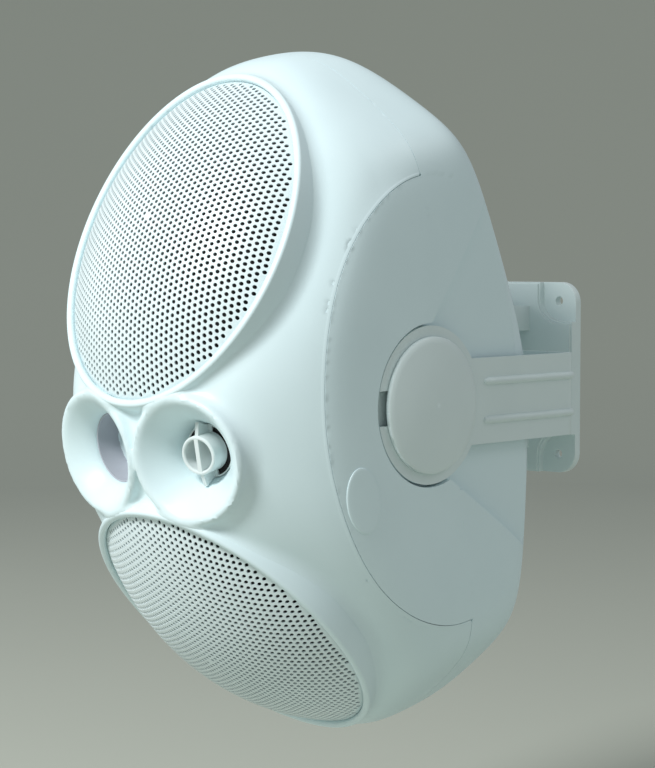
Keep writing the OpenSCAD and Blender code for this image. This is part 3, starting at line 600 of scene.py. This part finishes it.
def tray_wall(s):
    def wall(p):
        u, v, _ = on_face(p, s)
        return EDGE_GAP - ellipse(u, v, GRILLE_A, GRILLE_B)

    return wall


def not_side(p):
    return -recess_side(p)


points, quads = skin(
    front_baffle,
    [
        (front_form, seam_plane_front),
        (front_form, seam_ellipse_front),
        (front_form, tray_wall(1)),
        (front_form, tray_wall(-1)),
    ],
    (-96, -145, -192),
    (96, 12, 192),
    STEP,
)
for sweep in (bezel_sweep, seam_edge):
    for s in (1, -1):
        more, rings = sweep(s)
        quads = np.vstack([quads, rings + len(points)])
        points = np.vstack([points, more])
baffle = add_mesh("front_baffle_skin", cabinet_to_row(points), quads, mats["cabinet_plastic"], sharp=38)
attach(baffle, "cabinet")
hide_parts("front_baffle")

def floor_in_recess(p):
    return np.where(recess_side(p) < 1, recess_floor(p), 9.0)


points, quads = skin(
    rear_shell,
    [
        (body, seam_ellipse),
        (body, seam_plane_rear),
        (body, not_side),
        (recess_floor, not_side),
        (body, floor_in_recess),
    ],
    (-96, -92, -192),
    (96, 102, 192),
    STEP,
)
shell = add_mesh("rear_shell_skin", cabinet_to_row(points), quads, mats["cabinet_plastic"], sharp=38)
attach(shell, "cabinet")
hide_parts("rear_shell")

DISC_Y, DISC_Z, DISC_HALF_Y, DISC_HALF_Z, DISC_TURN = -68.0, -33.0, 11.0, 17.3, math.radians(5.7)


# Growth of the outline and height over the cheek, from the hidden foot to the face
DISC_PROFILE = [(0, -1.2), (0, 0.15), (-0.12, 0.38), (-0.45, 0.5), (-1.6, 0.52), (-4, 0.5), (-8, 0.45)]


def cheek_x(y, z):
    """Outer surface of the right cheek."""
    p = np.column_stack([np.full(len(y), 90.0), y, z])
    for _ in range(6):
        p[:, 0] -= body(p)
    return p[:, 0]


def disc_mesh(turns=96):
    """Thin blank oval disc that follows the cheek, with a rolled edge."""
    rings = []
    t = np.linspace(0, 2 * math.pi, turns, endpoint=False)
    for grow, lift in DISC_PROFILE:
        a, b = (DISC_HALF_Y + grow) * np.cos(t), (DISC_HALF_Z + grow) * np.sin(t)
        y = DISC_Y + a * math.cos(DISC_TURN) - b * math.sin(DISC_TURN)
        z = DISC_Z + a * math.sin(DISC_TURN) + b * math.cos(DISC_TURN)
        rings.append(np.column_stack([cheek_x(y, z) + lift, y, z]))
    count = len(rings)
    middle = np.array([[cheek_x(np.array([DISC_Y]), np.array([DISC_Z]))[0] + 0.45, DISC_Y, DISC_Z]])
    pts = np.vstack(rings + [middle, middle - [1.7, 0, 0]])
    faces = []
    for i in range(count - 1):
        for k in range(turns):
            j = (k + 1) % turns
            faces.append((i * turns + k, i * turns + j, (i + 1) * turns + j, (i + 1) * turns + k))
    top, bottom = count * turns, count * turns + 1
    for k in range(turns):
        j = (k + 1) % turns
        faces.append(((count - 1) * turns + k, (count - 1) * turns + j, top))
        faces.append((j, k, bottom))
    return pts, faces


points, faces = disc_mesh()
disc = add_mesh("side_disc_face", cabinet_to_row(points), faces, mats["cabinet_plastic"], sharp=40)
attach(disc, "cabinet")
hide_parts("side_disc")

# ---------------------------------------------------------------- inside the two mouths


def horn_place(s, ring):
    """Cabinet points of places given round a mouth's axis: radius, angle and depth."""
    at, right, out = horn_axes(s)
    r, a, z = np.array(ring, float).T
    return at + np.outer(r * np.cos(a), right) + np.outer(r * np.sin(a), [0, 0, 1.0]) - np.outer(z, out)


def lathe_ring(s, profile, turns=96):
    """Closed ring about a mouth's axis from a closed profile of radius and depth."""
    n = len(profile)
    around = np.linspace(0, 2 * math.pi, turns, endpoint=False)
    pts = horn_place(s, [(r, a, z) for a in around for r, z in profile])
    faces = []
    for k in range(turns):
        j = (k + 1) % turns
        for i in range(n):
            m = (i + 1) % n
            faces.append((k * n + i, k * n + m, j * n + m, j * n + i))
    return pts, faces


# Ring of the port's wall inside the mouth, coloured grey as painted shade, though the real wall is white
LINER = [(17.75, 13.9), (17.75, 26.9), (18.6, 26.9), (18.6, 14.1), (18.2, 13.6)]
pts, faces = lathe_ring(-1, LINER)
liner = add_mesh("port_liner", cabinet_to_row(pts), faces, port_painted_shade, sharp=50)
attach(liner, "cabinet")


# Black plates in the phase plug's windows are painted shade: they stand for the darkness deep in the horn's
# throat
WINDOW_IN, WINDOW_OUT, SHADE_PLATE_FRONT, SHADE_PLATE_BACK, WINDOW_SPAN = 10.25, 12.95, 22.7, 23.5, 144


def window_shade_plate(first, last, steps=40):
    """Thin black plate in one of the phase plug's two curved windows: painted shade for the dark throat
    behind them.
    """
    around = np.linspace(math.radians(first), math.radians(last), steps)
    corners = [
        (WINDOW_IN, SHADE_PLATE_FRONT),
        (WINDOW_OUT, SHADE_PLATE_FRONT),
        (WINDOW_OUT, SHADE_PLATE_BACK),
        (WINDOW_IN, SHADE_PLATE_BACK),
    ]
    pts = horn_place(1, [(r, a, z) for a in around for r, z in corners])
    faces = [(3, 2, 1, 0), tuple(4 * (steps - 1) + i for i in range(4))]
    for k in range(0, 4 * (steps - 1), 4):
        for i in range(4):
            m = (i + 1) % 4
            faces.append((k + i, k + m, k + 4 + m, k + 4 + i))
    return pts, faces


# painted shade: one black plate in each window of the phase plug
for side, first in (("right", -72), ("left", 108)):
    pts, faces = window_shade_plate(first, first + WINDOW_SPAN)
    cloth = add_mesh("horn_shade_plate_" + side, cabinet_to_row(pts), faces, scrim, sharp=40)
    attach(cloth, "cabinet")

# ---------------------------------------------------------------- grilles

HOLE_R, PITCH, BLANK = 1.0, 3.25, 1.5
SCRIM_GAP, SCRIM_T, SCRIM_EDGE = 3.0, 1.5, 2.5


def grille_pattern():
    """Flat plate with its holes: its points, and one ring of points for the rim and for each hole."""
    points, loops = [], []
    steps = 180
    rim = [
        (GRILLE_A * math.cos(2 * math.pi * i / steps), GRILLE_B * math.sin(2 * math.pi * i / steps))
        for i in range(steps)
    ]
    rows = int(GRILLE_A / (PITCH * math.sqrt(0.75))) + 1
    cols = int(GRILLE_B / PITCH) + 1
    holes = []
    for j in range(-rows, rows + 1):
        for i in range(-cols, cols + 1):
            u, v = PITCH * math.sqrt(0.75) * j, PITCH * (i + 0.5 * (j % 2))
            if ellipse(np.array([u]), np.array([v]), GRILLE_A, GRILLE_B)[0] < -BLANK:
                holes.append((u, v))
    points += rim
    loops.append(list(range(steps)))
    sides = 10
    for u, v in holes:
        first = len(points)
        points += [
            (u + HOLE_R * math.cos(2 * math.pi * k / sides), v + HOLE_R * math.sin(2 * math.pi * k / sides))
            for k in range(sides)
        ]
        loops.append(list(range(first, first + sides)))
    return points, loops


def plate_triangles(points, loops):
    edges = [(l[k], l[(k + 1) % len(l)]) for l in loops for k in range(len(l))]
    verts, _, faces, origin, _, _ = delaunay_2d_cdt([Vector(p) for p in points], edges, [], 0, 1e-5)
    verts = np.array([tuple(v) for v in verts])
    back = np.array([o[0] if o else -1 for o in origin])
    tri = np.array([f for f in faces if len(f) == 3])
    # a triangle inside a hole joins three points of one hole
    owner = np.full(len(points), -1)
    for h, loop in enumerate(loops[1:]):
        owner[loop] = h
    o = owner[back[tri]]
    keep = ~((o[:, 0] >= 0) & (o[:, 0] == o[:, 1]) & (o[:, 1] == o[:, 2]))
    tri = back[tri[keep]]
    p = np.array(points)
    a, b, c = p[tri[:, 0]], p[tri[:, 1]], p[tri[:, 2]]
    area = (b[:, 0] - a[:, 0]) * (c[:, 1] - a[:, 1]) - (b[:, 1] - a[:, 1]) * (c[:, 0] - a[:, 0])
    tri[area < 0] = tri[area < 0][:, ::-1]
    return p, tri


def on_grille(s, points, faces):
    """Row points and outward faces of places given across, along and out of a grille's rim."""
    up, outward = face_axes(s)
    at = up * s * GRILLE_UP + outward * RIM
    placed = at + points[:, :1] * np.array([1, 0, 0]) + points[:, 1:2] * up + points[:, 2:] * outward
    if np.dot(np.cross([1, 0, 0], up), outward) < 0:
        faces = [f[::-1] for f in faces]
    return cabinet_to_row(placed), faces


def grille_mesh(s, p, tri, loops):
    n = len(p)
    top = dome_height(p[:, 0], p[:, 1])
    normal = np.column_stack([p[:, 0], p[:, 1] * (GRILLE_A / GRILLE_B) ** 2, top + 84.5])
    normal /= np.linalg.norm(normal, axis=1)[:, None]
    outer = np.column_stack([p, top])
    inner = outer - SHEET * normal
    faces = [tuple(t) for t in tri] + [tuple(t[::-1] + n) for t in tri]
    for loop in loops[1:]:
        for a, b in zip(loop, loop[1:] + loop[:1]):
            faces.append((a, b, b + n, a + n))
    rim = loops[0]
    # skirt: rounded turn-over and a wall down into the seat
    k = len(rim)
    u, v = p[rim, 0], p[rim, 1]
    out = np.column_stack([u / GRILLE_A**2, v / GRILLE_B**2])
    out /= np.linalg.norm(out, axis=1)[:, None]
    rings = [outer[rim]]
    for grow, z in ((0.12, -0.4), (0.12, -1.0), (0.12, -12.0), (-1.0, -12.0), (-1.1, -1.6)):
        rings.append(np.column_stack([u + out[:, 0] * grow, v + out[:, 1] * grow, np.full(k, z)]))
    points = np.vstack([outer, inner] + rings[1:])
    skirt = [2 * n + i * k + np.arange(k) for i in range(len(rings) - 1)]
    start = [np.array(rim)] + skirt + [np.array(rim) + n]
    for a, b in zip(start, start[1:]):
        for i in range(k):
            j = (i + 1) % k
            faces.append((a[i], b[i], b[j], a[j]))
    return on_grille(s, points, faces)


def scrim_mesh(rings=14, turns=64):
    """Dark open-cell cloth close behind the sheet, with a front and a back."""
    pts, faces = [], []
    for lift in (-SHEET - SCRIM_GAP, -SHEET - SCRIM_GAP - SCRIM_T):
        first = len(pts)
        for i in range(rings + 1):
            for j in range(turns):
                a = 2 * math.pi * j / turns
                u = (GRILLE_A - SCRIM_EDGE) * i / rings * math.cos(a)
                v = (GRILLE_B - SCRIM_EDGE) * i / rings * math.sin(a)
                pts.append((u, v, dome_height(u, v) + lift))
        for i in range(rings):
            for j in range(turns):
                q = (
                    first + i * turns + j,
                    first + (i + 1) * turns + j,
                    first + (i + 1) * turns + (j + 1) % turns,
                    first + i * turns + (j + 1) % turns,
                )
                faces.append(q if first == 0 else q[::-1])
    half = (rings + 1) * turns
    for j in range(turns):
        a, b = rings * turns + j, rings * turns + (j + 1) % turns
        faces.append((a, a + half, b + half, b))
    return np.array(pts), faces


pattern, pattern_loops = grille_pattern()
plate_points, plate_tris = plate_triangles(pattern, pattern_loops)
for s, name in ((1, "upper"), (-1, "lower")):
    verts, faces = grille_mesh(s, plate_points, plate_tris, pattern_loops)
    obj = add_mesh(name + "_grille_sheet", verts, faces, mats["grille_steel"], sharp=40)
    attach(obj, "cabinet")
    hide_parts(name + "_grille")
    points, faces = on_grille(s, *scrim_mesh())
    cloth = add_mesh(name + "_grille_scrim", points, faces, scrim)
    bm = bmesh.new()
    bm.from_mesh(cloth.data)
    bmesh.ops.remove_doubles(bm, verts=bm.verts, dist=1e-6)
    bm.to_mesh(cloth.data)
    bm.free()
    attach(cloth, "cabinet")

# ---------------------------------------------------------------- ribs of the yoke's arms

ARM_OUT, ARM_START, ARM_BACK, ARM_ROUND = 90.6, -133.2, -50.6, 8.0
RIB_Z, RIB_HALF, RIB_PROUD, RIB_SINK = 10.3, 2.2, 1.8, 1.0


def rib_mesh(s, z0):
    """Half-round rib along an arm: a half-ellipse swept to the arm's rear corner."""
    path = [(ARM_OUT, ARM_START + RIB_HALF * (1 - math.cos(a)), math.sin(a)) for a in deg(8, 25, 45, 65, 90)]
    path += [(ARM_OUT, y, 1.0) for y in np.linspace(ARM_START + 8, ARM_BACK - ARM_ROUND, 24)]
    turns = deg(*range(0, 91, 10))
    places = [(np.array([x, y]), np.array([1.0, 0.0]), k) for x, y, k in path]
    middle = np.array([ARM_OUT - ARM_ROUND, ARM_BACK - ARM_ROUND])
    for a in turns[1:]:
        out = np.array([math.cos(a), math.sin(a)])
        places.append((middle + ARM_ROUND * out, out, 1.0))
    places.append((places[-1][0] - [4, 0], places[-1][1], 1.0))
    places.append((places[-1][0] - [RIB_HALF, 0], places[-1][1], 0.3))
    sides = 14
    pts, faces = [], []
    for at, out, k in places:
        for i in range(sides + 1):
            a = math.pi * i / sides
            flat = at + out * (k * (RIB_PROUD + RIB_SINK) * math.sin(a) - RIB_SINK)
            pts.append((s * flat[0], flat[1], z0 + k * RIB_HALF * math.cos(a)))
    n = sides + 1
    for j in range(len(places) - 1):
        for i in range(n):
            k = (i + 1) % n
            faces.append((j * n + i, (j + 1) * n + i, (j + 1) * n + k, j * n + k))
    faces.append(tuple(range(n)))
    faces.append(tuple(range(len(pts) - 1, len(pts) - 1 - n, -1)))
    return pts, faces if s > 0 else [f[::-1] for f in faces]


pts, faces = [], []
for s in (1, -1):
    for z in (1, -1):
        more, rings = rib_mesh(s, PIVOT[2] + z * RIB_Z)
        faces += [tuple(i + len(pts) for i in f) for f in rings]
        pts += more
ribs = add_mesh("yoke_ribs", pts, faces, mats["bracket_plastic"], sharp=50)
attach(ribs, "yoke")

# ---------------------------------------------------------------- CAD pieces with rounded edges


def soften(node, width, segments=3, angle=32):
    """Rounds a CAD node's edges with modifiers and leaves its mesh as it is."""
    obj = frame["nodes"][node]
    weld = obj.modifiers.new("weld", "WELD")
    weld.merge_threshold = 0.00002
    bevel = obj.modifiers.new("bevel", "BEVEL")
    bevel.width = width * MM
    bevel.segments = segments
    bevel.limit_method = "ANGLE"
    bevel.angle_limit = math.radians(angle)
    bevel.harden_normals = True
    bevel.use_clamp_overlap = True


for node, width in (("yoke", 0.7), ("wall_plate", 0.8), ("pivot_covers", 0.6)):
    soften(node, width)

# ---------------------------------------------------------------- stage, lights and camera


def stage_material(name, color):
    m = Shader(name)
    m.bsdf.inputs["Roughness"].default_value = 0.9
    m.bsdf.inputs["Specular IOR Level"].default_value = 0.1
    m.mix(m.remap(m.noise(3, 2), 0.3, 0.7, 0, 1), color, tuple(c * 0.99 for c in color))
    return m.mat


def revolved_stage(name, profile, material, turns=96):
    """Ring-shaped stage piece from (radius, height) points in millimetres."""
    pts = [
        (r * math.cos(2 * math.pi * k / turns), r * math.sin(2 * math.pi * k / turns), z)
        for r, z in profile
        for k in range(turns)
    ]
    faces = [
        (i * turns + k, i * turns + (k + 1) % turns, (i + 1) * turns + (k + 1) % turns, (i + 1) * turns + k)
        for i in range(len(profile) - 1)
        for k in range(turns)
    ]
    obj = add_mesh(name, pts, [f[::-1] for f in faces], material)
    return obj


FLOOR_Z, FLOOR_R, COVE_R = -300, 2200, 1400
paint = stage_material("floor_paint", (0.49, 0.52, 0.455))
revolved_stage("floor", [(1, FLOOR_Z), (600, FLOOR_Z), (FLOOR_R, FLOOR_Z)], paint)
cove_profile = [
    (FLOOR_R + COVE_R * math.sin(a), FLOOR_Z + COVE_R * (1 - math.cos(a)))
    for a in np.linspace(0, math.pi / 2, 24)
] + [(FLOOR_R + COVE_R, 4500)]
cove = revolved_stage("cove", cove_profile, paint)
cove.visible_diffuse = cove.visible_glossy = cove.visible_shadow = False

world = bpy.data.worlds.new("studio")
bpy.context.scene.world = world
world.use_nodes = True
world.node_tree.nodes["Background"].inputs["Color"].default_value = (0.72, 0.76, 0.78, 1)
world.node_tree.nodes["Background"].inputs["Strength"].default_value = 0.45


def area_light(name, at, towards, size, power, color=(1, 1, 1)):
    data = bpy.data.lights.new(name, "AREA")
    data.shape = "DISK"
    data.size = size
    data.energy = power
    data.color = color
    obj = bpy.data.objects.new(name, data)
    obj.location = at
    obj.rotation_mode = "QUATERNION"
    obj.rotation_quaternion = (Vector(towards) - Vector(at)).to_track_quat("-Z", "Y")
    bpy.context.scene.collection.objects.link(obj)
    return obj


MIDDLE = (0, -0.17, 0)
area_light("key", (-0.05, -1.75, 1.25), MIDDLE, 0.55, 37)
area_light("fill", (-1.7, -1.0, 0.6), MIDDLE, 1.4, 5)
area_light("rim", (1.1, 0.9, 1.3), MIDDLE, 0.9, 4)

# Camera solved from the photo: focal length in its pixels, place in millimetres, angles in degrees
FOCAL_PX, PHOTO_HEIGHT_PX = 2147, 768
EYE, AZIMUTH, ELEVATION = (789.5, -1031.4, 73.2), 42.112, 3.497
camera_data = bpy.data.cameras.new("camera")
camera_data.sensor_width = 36
camera_data.lens = FOCAL_PX * camera_data.sensor_width / PHOTO_HEIGHT_PX
camera_data.clip_start, camera_data.clip_end = 0.05, 50
camera = bpy.data.objects.new("camera", camera_data)
bpy.context.scene.collection.objects.link(camera)
az, el = math.radians(AZIMUTH), math.radians(ELEVATION)
right = Vector((math.cos(az), math.sin(az), 0))
forward = Vector((-math.sin(az) * math.cos(el), math.cos(az) * math.cos(el), -math.sin(el)))
up = right.cross(forward)
eye = Vector(EYE)
camera.matrix_world = Matrix.Translation(eye * MM) @ Matrix(
    (
        (right.x, up.x, -forward.x, 0),
        (right.y, up.y, -forward.y, 0),
        (right.z, up.z, -forward.z, 0),
        (0, 0, 0, 1),
    )
)
bpy.context.scene.camera = camera
bpy.context.scene.view_settings.view_transform = "Standard"
